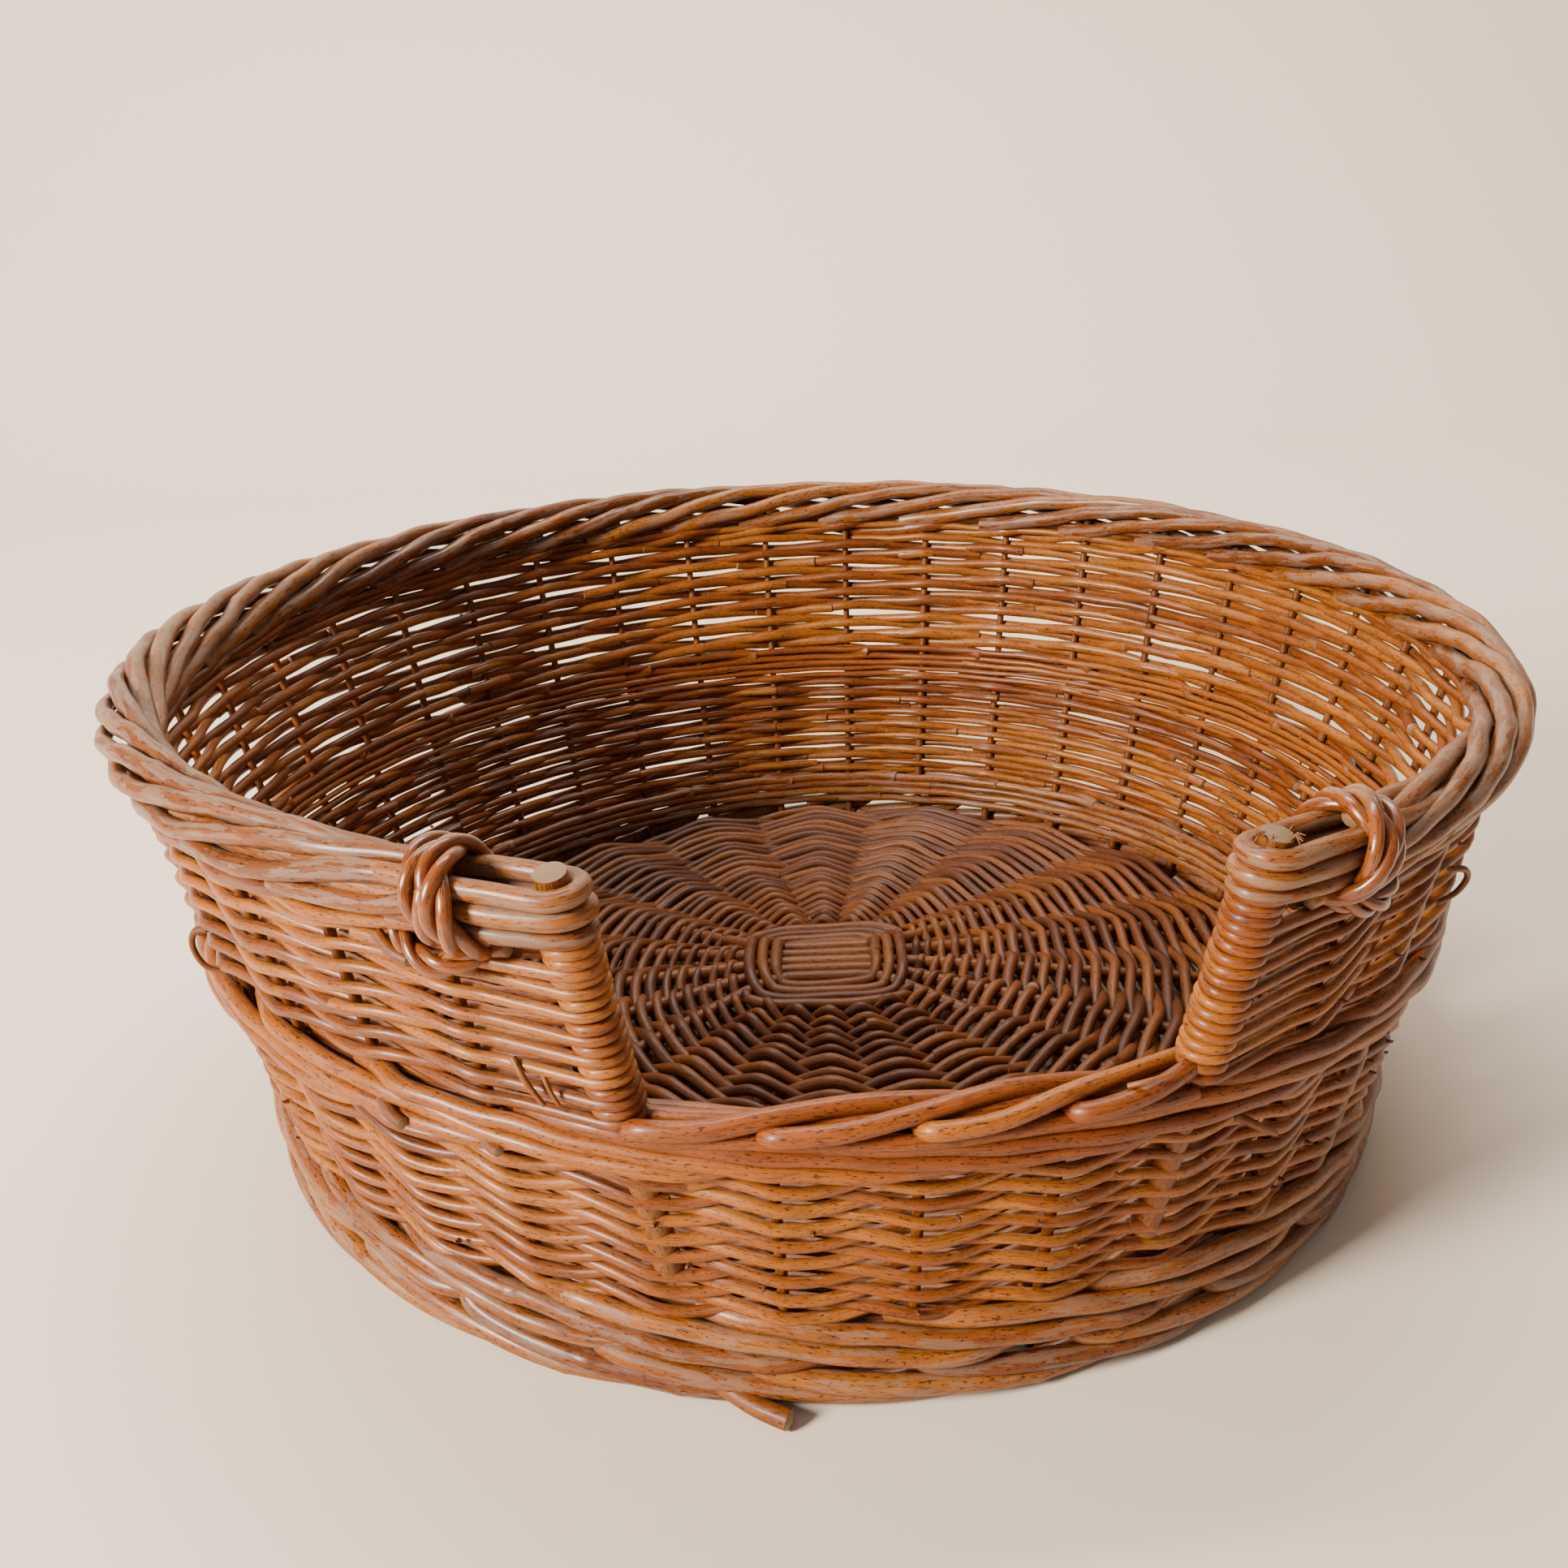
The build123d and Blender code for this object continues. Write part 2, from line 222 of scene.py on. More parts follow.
def willow(name, light, mid, dark, rough=0.42, coat=0.18, painted_sheen=0.0, end_col=(0.20, 0.11, 0.05)):
    """Varnished willow: a tint for each rod, streaks along it, dark specks, its own colour on cut ends, and,
    where asked, grey-beige patches of painted sheen.
    """
    light, mid, dark = (tuple(v * k for v, k in zip(c, DEEPEN)) for c in (light, mid, dark))
    m = bpy.data.materials.new(name)
    m.use_nodes = True
    nt = m.node_tree
    n, l = nt.nodes, nt.links
    n.clear()
    out = n.new("ShaderNodeOutputMaterial")
    bs = n.new("ShaderNodeBsdfPrincipled")
    l.new(bs.outputs[0], out.inputs[0])
    bs.inputs["Coat Weight"].default_value = coat
    bs.inputs["Coat Roughness"].default_value = 0.20
    bs.inputs["IOR"].default_value = 1.45
    bs.inputs["Specular IOR Level"].default_value = 0.36
    tint = n.new("ShaderNodeAttribute")
    tint.attribute_name = "tint"
    cut = n.new("ShaderNodeAttribute")
    cut.attribute_name = "cutend"
    rod = n.new("ShaderNodeAttribute")
    rod.attribute_name = "rodco"

    def noise(vec_scale, scale, detail=3.0, rough_=0.6):
        mp = n.new("ShaderNodeMapping")
        mp.inputs["Scale"].default_value = vec_scale
        l.new(rod.outputs["Vector"], mp.inputs["Vector"])
        t = n.new("ShaderNodeTexNoise")
        t.inputs["Scale"].default_value = scale
        t.inputs["Detail"].default_value = detail
        t.inputs["Roughness"].default_value = rough_
        l.new(mp.outputs[0], t.inputs["Vector"])
        return t.outputs["Fac"]

    def ramp(fac, stops):
        r = n.new("ShaderNodeValToRGB")
        e = r.color_ramp.elements
        while len(e) < len(stops):
            e.new(0.5)
        for k, (pos, col) in enumerate(stops):
            e[k].position = pos
            e[k].color = (*col, 1) if len(col) == 3 else col
        l.new(fac, r.inputs[0])
        return r.outputs[0]

    def mix(kind, fac, a, b):
        x = n.new("ShaderNodeMix")
        x.data_type = "RGBA"
        x.blend_type = kind
        if isinstance(fac, float):
            x.inputs[0].default_value = fac
        else:
            l.new(fac, x.inputs[0])
        for sock, v in ((6, a), (7, b)):
            if isinstance(v, tuple):
                x.inputs[sock].default_value = (*v, 1)
            else:
                l.new(v, x.inputs[sock])
        return x.outputs[2]

    def math_(op, a, b=None):
        x = n.new("ShaderNodeMath")
        x.operation = op
        for k, v in enumerate((a, b)):
            if v is None:
                continue
            if isinstance(v, (int, float)):
                x.inputs[k].default_value = v
            else:
                l.new(v, x.inputs[k])
        return x.outputs[0]

    drift = noise((0.3, 0.3, 0.16), 1.0, 2.0)
    streak = noise((1.6, 1.6, 0.22), 1.6, 4.0, 0.7)
    patch = noise((0.8, 0.8, 0.9), 1.0, 3.0, 0.6)
    key = math_("ADD", math_("MULTIPLY", tint.outputs["Fac"], 0.62), math_("MULTIPLY", drift, 0.55))
    col = ramp(key, [(0.16, dark), (0.52, mid), (0.92, light)])
    streak_col = ramp(streak, [(0.30, (0.50, 0.42, 0.36)), (0.55, (1, 1, 1)), (1.0, (1.1, 1.06, 1.0))])
    col = mix("MULTIPLY", 0.55, col, streak_col)
    col = mix("MULTIPLY", 0.5, col, ramp(patch, [(0.34, (0.45, 0.34, 0.27)), (0.46, (1, 1, 1))]))
    speck = noise((1.7, 1.7, 2.6), 1.5, 2.0, 0.5)
    col = mix("MULTIPLY", 0.9, col, ramp(speck, [(0.355, (0.14, 0.08, 0.05)), (0.395, (1, 1, 1))]))
    scar = noise((2.4, 2.4, 0.9), 1.4, 2.0, 0.5)
    col = mix("MULTIPLY", 0.7, col, ramp(scar, [(0.33, (0.28, 0.19, 0.13)), (0.39, (1, 1, 1))]))
    # painted sheen: grey-beige patches laid at random along the rod
    if painted_sheen > 0:
        sheen_noise = noise((0.5, 0.5, 0.35), 1.3, 3.0)
        sheen_mask = math_("MULTIPLY", math_("GREATER_THAN", sheen_noise, 0.52), painted_sheen)
        col = mix("MIX", sheen_mask, col, (0.22, 0.155, 0.11))
    col = mix("MIX", cut.outputs["Fac"], col, end_col)
    l.new(col, bs.inputs["Base Color"])
    rg = math_("ADD", math_("MULTIPLY", streak, 0.30), rough - 0.13)
    l.new(rg, bs.inputs["Roughness"])
    bump = n.new("ShaderNodeBump")
    bump.inputs["Strength"].default_value = 0.22
    bump.inputs["Distance"].default_value = 0.0006
    l.new(streak, bump.inputs["Height"])
    l.new(bump.outputs[0], bs.inputs["Normal"])
    return m


M_WEAVE = willow("willow_weaver", (0.72, 0.30, 0.070), (0.50, 0.165, 0.030), (0.24, 0.064, 0.011))
# the border and rim rods carry grey-beige patches of painted sheen
M_BORDER = willow("willow_border_rod", (0.66, 0.28, 0.080), (0.46, 0.155, 0.034), (0.25, 0.075, 0.016),
                  painted_sheen=0.35)
M_RIM = willow("willow_rim_rod", (0.60, 0.25, 0.075), (0.42, 0.145, 0.037), (0.23, 0.075, 0.020),
               painted_sheen=0.42)
M_SILL = willow("willow_sill_rod", (0.66, 0.25, 0.048), (0.50, 0.155, 0.024), (0.32, 0.088, 0.014))
M_STAKE = willow("willow_stake", (0.50, 0.21, 0.058), (0.38, 0.135, 0.030), (0.22, 0.070, 0.015))
M_BASE = willow("willow_base", (0.38, 0.145, 0.038), (0.245, 0.077, 0.016), (0.12, 0.036, 0.008),
                rough=0.50, coat=0.06)
M_BASE_STICK = willow("willow_base_stick", (0.46, 0.19, 0.055), (0.32, 0.11, 0.026), (0.19, 0.062, 0.014),
                      rough=0.50, coat=0.06)
M_POST = willow("willow_post", (0.46, 0.20, 0.060), (0.36, 0.13, 0.035), (0.24, 0.08, 0.022),
                end_col=(0.17, 0.10, 0.045))
M_BIND = willow("willow_binding", (0.56, 0.20, 0.042), (0.40, 0.115, 0.020), (0.24, 0.062, 0.011),
                rough=0.27, coat=0.7)

# ---------------------------------------------------------------- side stakes
LONG = np.arange(3, 34) * STEP
SHORT = np.arange(-1, 2) * STEP
bundle = Bundle("side_stakes", "stakes", [f"side_stake_{i:02d}" for i in range(1, 32)])
for azimuth in LONG:
    z = np.linspace(STAKE_FOOT, Z_RIM - 7, 14)
    r = STAKE_R * RNG.uniform(0.92, 1.06)
    bundle.rod(polar(azimuth, wall_r(z), z), r * 1.05, r * 0.92)
bundle.build(M_STAKE)
bundle = Bundle("front_stakes", "stakes", [f"front_stake_{i}" for i in (1, 2, 3)])
for azimuth in SHORT:
    z = np.linspace(STAKE_FOOT, Z_MID + 2, 10)
    bundle.rod(polar(azimuth, wall_r(z), z), STAKE_R, STAKE_R * 0.95)
bundle.build(M_STAKE)


# ---------------------------------------------------------------- randed walls
def soft_tri(u, k=0.988):
    """A wave that is 1 at even u and -1 at odd u, straight between and rounded at the stakes."""
    return np.arcsin(k * np.cos(np.pi * u)) / math.asin(k)


def wall_points(u, radial, z):
    """Points at u stakes round from the entry, radial outwards from the stakes' line, at height z."""
    return polar(u * STEP, wall_r(z) + radial, z)


def outward(u):
    """The outward direction at u stakes round."""
    return polar(u * STEP, 1.0, 0.0)


def even_path(path, step=2.2, rounds=2):
    """The same path with evenly spaced points and its corners eased."""
    seg = np.concatenate([[0], np.cumsum(np.linalg.norm(np.diff(path, axis=0), axis=1))])
    even = np.linspace(0, seg[-1], max(10, int(seg[-1] / step)))
    path = np.stack([np.interp(even, seg, path[:, i]) for i in range(3)], 1)
    for _ in range(rounds):
        path[1:-1] = (path[:-2] + 2 * path[1:-1] + path[2:]) / 4
    return path


def spline(ctrl, per=10):
    """A Catmull-Rom curve through the control rows."""
    c = np.asarray(ctrl, float)
    c = np.concatenate([2 * c[:1] - c[1:2], c, 2 * c[-1:] - c[-2:-1]])
    t = np.linspace(0, 1, per, endpoint=False)[:, None]
    out = []
    for a, b, d, e in zip(c[:-3], c[1:-2], c[2:-1], c[3:]):
        square = (2 * a - 5 * b + 4 * d - e) * t ** 2
        cube = (3 * b - a - 3 * d + e) * t ** 3
        out.append(0.5 * (2 * b + (d - a) * t + square + cube))
    return np.concatenate(out + [c[-2:-1]])


def slant(x):
    """How far a weaver is off its level: an even slope across the stake at x = 0, then quickly back."""
    return np.sin(np.pi * x) - 0.22 * np.sin(2 * np.pi * x) + 0.03 * np.sin(3 * np.pi * x)


PITCH_U = 11                      # points along a weaver in each gap between stakes
BACK_FROM, BACK_FADE = 66.0, 14.0  # azimuth where the straighter weave begins, and how soon it is full
PHASE_GAP = 4.65                  # height between the two weavers of a level, round the back
INSIDE_RISE = 0.45                # height gained per unit of distance inwards, round the back


def row_levels(low, high, rows, shrink=0.06):
    """Middles of rows that fill low to high, from 1 + shrink of the mean depth down to 1 - shrink."""
    gaps = np.linspace(1 + shrink, 1 - shrink, rows)
    edges = low + (high - low) * np.concatenate([[0], np.cumsum(gaps)]) / gaps.sum()
    return (edges[1:] + edges[:-1]) / 2


def strand(u, phase, z0, thick, lean, off):
    """A weaver outside the stakes at u = phase, phase + 2 ...: its offset outwards and its height.

    Round the back the rods run straighter, and a rod is higher where it passes inside a stake."""
    x = np.mod(u - phase, 2) - 1
    az = np.mod(u * STEP, 360)
    from_edge = np.minimum(az, 360 - az) - BACK_FROM
    tight = np.clip(from_edge / BACK_FADE, 0, 1) * 0.9
    z = z0 + (1 - tight) * (lean * 2.1 * slant(x) + off * (1 - np.cos(np.pi * x)) / 2)
    radial = (STAKE_R + thick) * soft_tri(u - phase)
    z = z + tight * ((phase - 0.5) * PHASE_GAP + 0.35 * lean * slant(x) - INSIDE_RISE * radial)
    return radial, z


def weaver(bundle, phase, z0, c0, c1, t0, t1, lean, off):
    """One rod of a strand; its two ends lie behind a stake, beside the next rod's."""
    u = np.linspace(c0 - 0.5, c1 + 0.5, max(8, int((c1 - c0 + 1) * PITCH_U)))
    thick = np.interp(u, [u[0], u[-1]], [t0, t1])
    fuller = 1.0 + 0.08 * math.cos(math.radians((c0 + c1) / 2 * STEP - 165))
    t0, t1, thick = t0 * fuller, t1 * fuller, thick * fuller
    radial, z = strand(u, phase, z0 + RNG.normal(0, 0.35), thick, lean, off)
    radial = radial - 0.9 * np.exp(-((u - u[0]) / 0.35) ** 2) - 0.9 * np.exp(-((u - u[-1]) / 0.35) ** 2)
    bundle.rod(wall_points(u, radial, z), t0, t1, ref=outward(u), knots=0.3, sway=0.35)


def cuts_between(a, b):
    """Start and end of each rod from a to b: 6 to 10 stakes long, the last one what is left."""
    cuts = [a]
    while cuts[-1] < b - 6:
        cuts.append(min(cuts[-1] + RNG.uniform(6, 10), b))
    if cuts[-1] < b:
        cuts.append(b)
    return list(zip(cuts[:-1], cuts[1:]))


# lower wall: all the way round
LOWER_LEVELS = 8
LOWER_ROWS = row_levels(Z_FOOT_WALE - 1.0, Z_LOWER + 0.5, LOWER_LEVELS)
bundle = Bundle("lower_wall_weavers", "weave", ["lower_weave"])
for z0 in LOWER_ROWS:
    for phase in (0, 1):
        start = RNG.uniform(0, ROUND)
        for c0, c1 in cuts_between(start, start + ROUND):
            t0 = RNG.uniform(2.5, 3.0)
            weaver(bundle, phase, z0, c0, c1, t0, t0 * RNG.uniform(0.8, 0.96), 1.08, -2.9)
# two thinner rows packed under the sill
for z0, phase in ((Z_LOWER - 0.6, 0), (Z_LOWER + 1.8, 1)):
    weaver(bundle, phase, z0, -4.2, 4.3, 1.7, 1.4, 0.4, -1.0)
bundle.build(M_WEAVE)


POST_FOOT_Z, POST_FOOT_AZ, POST_TOP_AZ = 60.0, 18.6, 21.3
POST_R = 5.6


def post_axis(side, z):
    """The middle of an end post at height z; side is 1 at the right, -1 at the left."""
    foot = polar(side * POST_FOOT_AZ, wall_r(POST_FOOT_Z), POST_FOOT_Z)
    top = polar(side * POST_TOP_AZ, wall_r(Z_POST), Z_POST)
    t = (np.asarray(z, float) - POST_FOOT_Z) / (Z_POST - POST_FOOT_Z)
    return foot + (top - foot) * t[..., None]


def round_post(side, ring, turn, z):
    """Points round a post: turn 90 degrees is outside the basket, 0 the entry side, -90 inside."""
    t = np.radians(turn)
    centre = post_axis(side, z)
    post_az = np.degrees(np.arctan2(centre[:, 0], -centre[:, 1]))
    arc = centre + polar(post_az, 1.0, 0.0) * (ring * np.sin(t))[:, None]
    arc = arc + polar(post_az - 90 * side, 1.0, 0.0) * (ring * np.cos(t))[:, None]
    arc[:, 2] = z
    return arc


# upper wall: pairs of weavers in opposite phase, turned back round the posts at the entry
UPPER_LEVELS = 7
UPPER_ROWS = row_levels(Z_MID + 0.3, Z_UPPER + 0.5, UPPER_LEVELS, 0.03)
PASSES = 2                         # how often each level's weavers pass the post's face
PASS_GAP = (Z_UPPER - Z_MID - 1.0) / (UPPER_LEVELS * PASSES)
UPPER_LEAN, UPPER_OFF = -1.05, 2.9
bundle = Bundle("upper_wall_weavers", "weave", ["upper_weave"])
turned = Bundle("upper_wall_turned_ends", "weave", ["upper_weave"])
for level, z0 in enumerate(UPPER_ROWS):
    spans = {}
    for phase in (0, 1):
        a = 3.6 + (level * 2.3 + phase * 4.1) % 6
        b = 32.4 - (level * 3.1 + phase * 3.7) % 6
        spans[phase] = (a, b)
        for c0, c1 in cuts_between(a, b):
            t0 = RNG.uniform(2.4, 2.9)
            weaver(bundle, phase, z0, c0, c1, t0, t0 * RNG.uniform(0.82, 0.97), UPPER_LEAN, UPPER_OFF)
    first_pass = Z_MID + 1.8 + PASS_GAP * (PASSES * level + 0.5)
    for side in (1, -1):
        t0 = RNG.uniform(2.15, 2.4)
        edge = 2.75 if side > 0 else 33.25
        # the rod goes about one and a half times round the post
        turn = np.linspace(100, -460, 70)
        zz = first_pass - PASS_GAP * turn / 360.0 + 0.35 * np.sin(np.radians(turn) + RNG.uniform(0, 6))
        arc = round_post(side, POST_R + t0 + RNG.uniform(-0.35, 0.35), turn, zz)
        legs = []
        for phase in (0, 1):
            reach = spans[phase][0] + 0.4 if side > 0 else spans[phase][1] - 0.4
            u = np.linspace(reach, edge, max(6, int(abs(reach - edge) * PITCH_U)))
            radial, z = strand(u, phase, z0, t0, UPPER_LEAN, UPPER_OFF)
            legs.append((u, radial, z))
        outer, inner = (0, 1) if legs[0][1][-1] > legs[1][1][-1] else (1, 0)
        near = []
        for which, target in ((outer, zz[0]), (inner, zz[-1])):
            u, radial, z = legs[which]
            w = np.clip(1 - np.abs(u - edge) / 0.9, 0, 1)
            w = w * w * (3 - 2 * w)
            near.append(wall_points(u, radial, z + (target - z) * w))
        path = even_path(np.concatenate([near[0], arc, near[1][::-1]]))
        turned.rod(path, t0, t0 * 0.94)
for side in (1, -1):
    # the last weavers go on round the post up to the border
    turn = np.linspace(100, 100 - 360 * 3.4, 160)
    zz = np.linspace(Z_UPPER + 0.6, Z_RIM - 7.8, 160)
    u = np.linspace(3.6, 2.8, 12) if side > 0 else np.linspace(32.4, 33.2, 12)
    path = np.concatenate([wall_points(u, 5.5, Z_UPPER + 0.5), round_post(side, 8.0, turn, zz)])
    turned.rod(even_path(path), 2.55, 2.3)
bundle.build(M_WEAVE)
turned.build(M_WEAVE)


# ---------------------------------------------------------------- wales
def eased(values):
    """One period of a wave, with its corners rounded."""
    window = np.hanning(11)
    window /= window.sum()
    return np.convolve(np.concatenate([values[-12:-1], values, values[1:12]]), window, "same")[11:-11]


def wale(bundle, rods, low, high, thick, u_from, u_to):
    """Each rod passes outside all the stakes but one, rising, then inside one, where it drops back."""
    pitch = (high - low - 2 * thick) / max(rods - 2, 1)
    mid = (low + high) / 2
    for m in range(rods):
        knots_s = np.array([0, 0.5, 1, *range(2, rods), rods - 0.5, rods])
        knots_z = [mid, high - thick + 0.3, high - thick]
        knots_z += [high - thick - pitch * (i - 1) for i in range(2, rods)]
        knots_z += [low + thick - 0.3, mid]
        knots_r = [-1.0, 0.05, 1.0] + [1.0] * (rods - 2) + [0.05, -1.0]
        fine = np.linspace(0, rods, 24 * rods + 1)
        zt = eased(np.interp(fine, knots_s, knots_z))
        rt = eased(np.interp(fine, knots_s, knots_r))
        cuts = [u_from]
        while cuts[-1] < u_to - 2 * rods:
            cuts.append(min(m + rods * round((cuts[-1] + RNG.uniform(9, 15) - m) / rods), u_to))
        if cuts[-1] < u_to:
            cuts.append(u_to)
        for c0, c1 in zip(cuts[:-1], cuts[1:]):
            uu = np.unique(np.clip(np.arange(c0 - 0.3, c1 + 0.3, 1 / 12), u_from, u_to))
            part = np.mod(uu - m, rods)
            zz = low + high - np.interp(part, fine, zt)
            rr = (STAKE_R + thick) * np.interp(part, fine, rt)
            t0 = thick * RNG.uniform(0.94, 1.08)
            bundle.rod(wall_points(uu, rr, zz + RNG.normal(0, 0.2)), t0, t0 * RNG.uniform(0.84, 0.96),
                       ref=outward(uu), knots=0.2, sides=12, sway=0.5)


# ---------------------------------------------------------------- rolled borders
def rolled(bundle, starts, step, ctrl, centre_r, centre_z, r0, r1, clip=None, sway=0.6):
    """One rod from each start, in stakes round from the entry.

    ctrl rows: stakes travelled, then the offsets outwards and upwards from the border's middle."""
    for start in starts:
        c = np.array(ctrl, float)
        c[1:, 1:] += RNG.normal(0, 0.35, c[1:, 1:].shape)
        way = spline(c)
        u = start + step * way[:, 0]
        rad = np.linspace(r0, r1, len(u)) * RNG.uniform(0.93, 1.07)
        if clip is not None:
            keep = (u >= clip[0]) & (u <= clip[1])
            if keep.sum() < 8:
                continue
            way, u, rad = way[keep], u[keep], rad[keep]
        path = even_path(polar(u * STEP, centre_r + way[:, 1], centre_z + way[:, 2]), 2.4, 3)
        bundle.rod(path, rad[0], rad[-1], sides=12, knots=0.2, sway=sway)


def packing(bundle, levels, thick, a=0.0, b=36.0):
    """Thin rods laid close together along the inside of the stakes."""
    for z0 in levels:
        start = a + RNG.uniform(0, 20) if b - a >= 36 else a
        for c0, c1 in cuts_between(start, start + (b - a)):
            u = np.linspace(c0 - 0.3, c1 + 0.3, int((c1 - c0 + 0.6) * 10))
            t0 = thick * RNG.uniform(0.92, 1.08)
            bow = 0.8 * (0.5 - 0.5 * np.cos(2 * np.pi * u))
            pts = wall_points(u, -(STAKE_R + t0) + bow, z0 + RNG.normal(0, 0.25))
            bundle.rod(pts, t0, t0 * RNG.uniform(0.84, 0.96), ref=outward(u), knots=0.2, sway=0.4)


bundle = Bundle("foot_wale_rods", "borders", ["foot_wale"])
FOOT_WALE_WAY = [(-0.2, -2.0, 8.0), (0.15, 3.6, 8.6), (0.5, 7.2, 8.2), (1.2, 7.6, 5.2),
                 (2.0, 7.8, 0.2), (2.8, 7.6, -5.2), (3.4, 6.8, -8.4), (3.8, 1.5, -8.8),
                 (4.1, -2.5, -8.0)]
FOOT_WALE_Z = (Z_FOOT + Z_FOOT_WALE) / 2 - 1.0
rolled(bundle, np.arange(24) * 1.5, 1, FOOT_WALE_WAY, float(wall_r(FOOT_WALE_Z)), FOOT_WALE_Z,
       4.3, 3.5, sway=0.7)
packing(bundle, (25.5, 30.5, 35.5, 40.5), 2.5)
bundle.build(M_BORDER)

bundle = Bundle("mid_wale_rods", "borders", ["mid_wale"])
MID_WALE_WAY = [(-0.2, -2.0, 6.0), (0.15, 3.2, 6.9), (0.5, 6.6, 6.6), (1.3, 7.1, 4.0),
                (2.2, 7.2, 0.0), (3.1, 7.1, -4.0), (3.9, 6.4, -6.6), (4.3, 2.0, -6.8),
                (4.6, -2.0, -6.4)]
MID_WALE_Z = (Z_LOWER + Z_MID) / 2
rolled(bundle, np.arange(24) * 1.5 + 0.4, 1, MID_WALE_WAY, float(wall_r(MID_WALE_Z)), MID_WALE_Z,
       3.7, 3.0, sway=0.6)
packing(bundle, np.linspace(Z_LOWER + 1.2, Z_MID - 1.0, 5), 1.95)
bundle.build(M_SILL)

bundle = Bundle("top_wale_rods", "borders", ["top_wale"])
wale(bundle, 3, Z_UPPER - 0.5, Z_TOP_WALE + 2.0, 3.0, 2.45, 33.55)
packing(bundle, (Z_UPPER + 6.5, Z_TOP_WALE + 1.5), 2.3, 3.3, 32.7)
bundle.build(M_WEAVE)

bundle = Bundle("foot_border_rods", "borders", ["foot_border"])
FOOT_R = 265.6
FOOT_WAY = [(0, 2.0, 16), (0.05, 7.0, 9.5), (0.5, 8.3, 4.5), (1.3, 8.6, 0.5), (2.2, 7.2, -4.2),
            (3.1, 2.5, -6.1), (3.9, -3.5, -5.6), (4.6, -7.8, -2.0), (5.3, -7.6, 4.0)]
rolled(bundle, np.arange(28) * ROUND / 28, 1, FOOT_WAY, FOOT_R, Z_FOOT / 2, 4.5, 3.5, sway=0.0)
bundle.build(M_BORDER)

bundle = Bundle("rim_border_rods", "borders", ["rim_border"])
RIM_R = float(wall_r(Z_RIM))
RIM_WAY = [(-0.3, -4.5, -14.0), (0.1, -7.8, -10.0), (0.6, -9.5, -5.0), (1.1, -9.2, 0.6),
           (1.6, -6.6, 5.2), (2.3, -1.2, 7.8), (3.0, 4.6, 6.6), (3.6, 8.2, 2.4), (4.2, 9.0, -2.8),
           (4.8, 7.2, -7.6), (5.2, 5.0, -10.0)]
rolled(bundle, range(3, 39), -1, RIM_WAY, RIM_R, Z_RIM, 4.6, 3.3, clip=(2.84, 33.16))
for side in (1, -1):
    # the last rods run straight past the binding and bend round the post, one above the other
    for lift, t in ((6.9, 3.7), (-0.6, 3.8), (-7.6, 3.1)):
        zc = Z_RIM + lift
        centre = post_axis(side, np.array(zc))
        az = math.degrees(math.atan2(centre[0], -centre[1]))
        rad_dir = polar(az, 1.0, 0.0)
        tan_dir = polar(az - 90 * side, 1.0, 0.0)
        ring = 5.4 + t
        turn = np.radians(np.linspace(90, -90, 26))
        arc = centre + rad_dir * (ring * np.sin(turn))[:, None] + tan_dir * (ring * np.cos(turn))[:, None]
        arc[:, 2] = zc + 0.9 * np.cos(turn)
        u = np.linspace(5.4, 2.45, 44) if side > 0 else np.linspace(30.6, 33.55, 44)
        out = np.interp(np.linspace(0, 1, 44), [0, 0.5, 0.72, 1], [2.0, 3.2, 5.8, ring])
        rise = [-2.0, -1.0 + 0.4 * lift, 0.85 * lift, lift]
        up_ = np.interp(np.linspace(0, 1, 44), [0, 0.5, 0.75, 1], rise)
        outer = polar(u * STEP, RIM_R + out, Z_RIM + up_)
        inner = polar(u * STEP, RIM_R - out, Z_RIM + up_)
        path = even_path(np.concatenate([outer, arc, inner[::-1]]), 2.2, 4)
        bundle.rod(path, t, t * 0.93, sides=12, knots=1.0, sway=0.25)
bundle.build(M_RIM)

bundle = Bundle("sill_border_rods", "borders", ["sill_border"])
SILL_R = float(wall_r(Z_SILL)) - 1.0
SILL_Z = (Z_MID + Z_SILL) / 2
SILL_WAY = [(0, -3.0, -6.0), (-0.02, 2.5, -4.2), (0.02, 7.4, -2.6), (0.12, 9.0, -1.8),
            (0.5, 7.6, -0.2), (1.0, 2.6, 2.8), (1.5, -2.2, 3.6), (2.0, -6.0, 1.4),
            (2.3, -7.2, -1.8)]
rolled(bundle, (-1.9, -1, 0, 1), 1, SILL_WAY, SILL_R, SILL_Z, 3.9, 3.2, clip=(-1.95, 1.95), sway=0.2)
for offset, lift, t in ((4.4, -7.2, 3.4), (-5.6, -3.4, 3.3), (-1.4, -1.6, 3.0)):
    u = np.linspace(-1.9, 1.9, 50)
    waver = 0.5 * np.sin(u * 3 + offset)
    bundle.rod(polar(u * STEP, SILL_R + offset, SILL_Z + lift + waver), t, t * 0.92,
               ref=outward(u), sides=12, sway=0.3)
bundle.build(M_SILL)


# ---------------------------------------------------------------- posts and bindings
def twisted(bundle, core, side_dir, r0, r1, pitch, spread, depth):
    """Three rods twisted round each other along core; side_dir is the way they lie side by side."""
    dist = np.concatenate([[0], np.cumsum(np.linalg.norm(np.diff(core, axis=0), axis=1))])
    tan = np.gradient(core, axis=0)
    tan /= np.linalg.norm(tan, axis=1)[:, None]
    side_dir = side_dir - tan * (side_dir * tan).sum(1)[:, None]
    side_dir /= np.linalg.norm(side_dir, axis=1)[:, None]
    out_dir = np.cross(tan, side_dir)
    for ply in (0, 1, 2):
        tw = dist / pitch * 2 * math.pi + ply * 2 * math.pi / 3
        off = side_dir * (np.cos(tw) * spread)[:, None] + out_dir * (np.sin(tw) * depth)[:, None]
        bundle.rod(core + off, r0, r1, sides=12, tint=0.3 + 0.22 * ply + 0.1 * RNG.random())


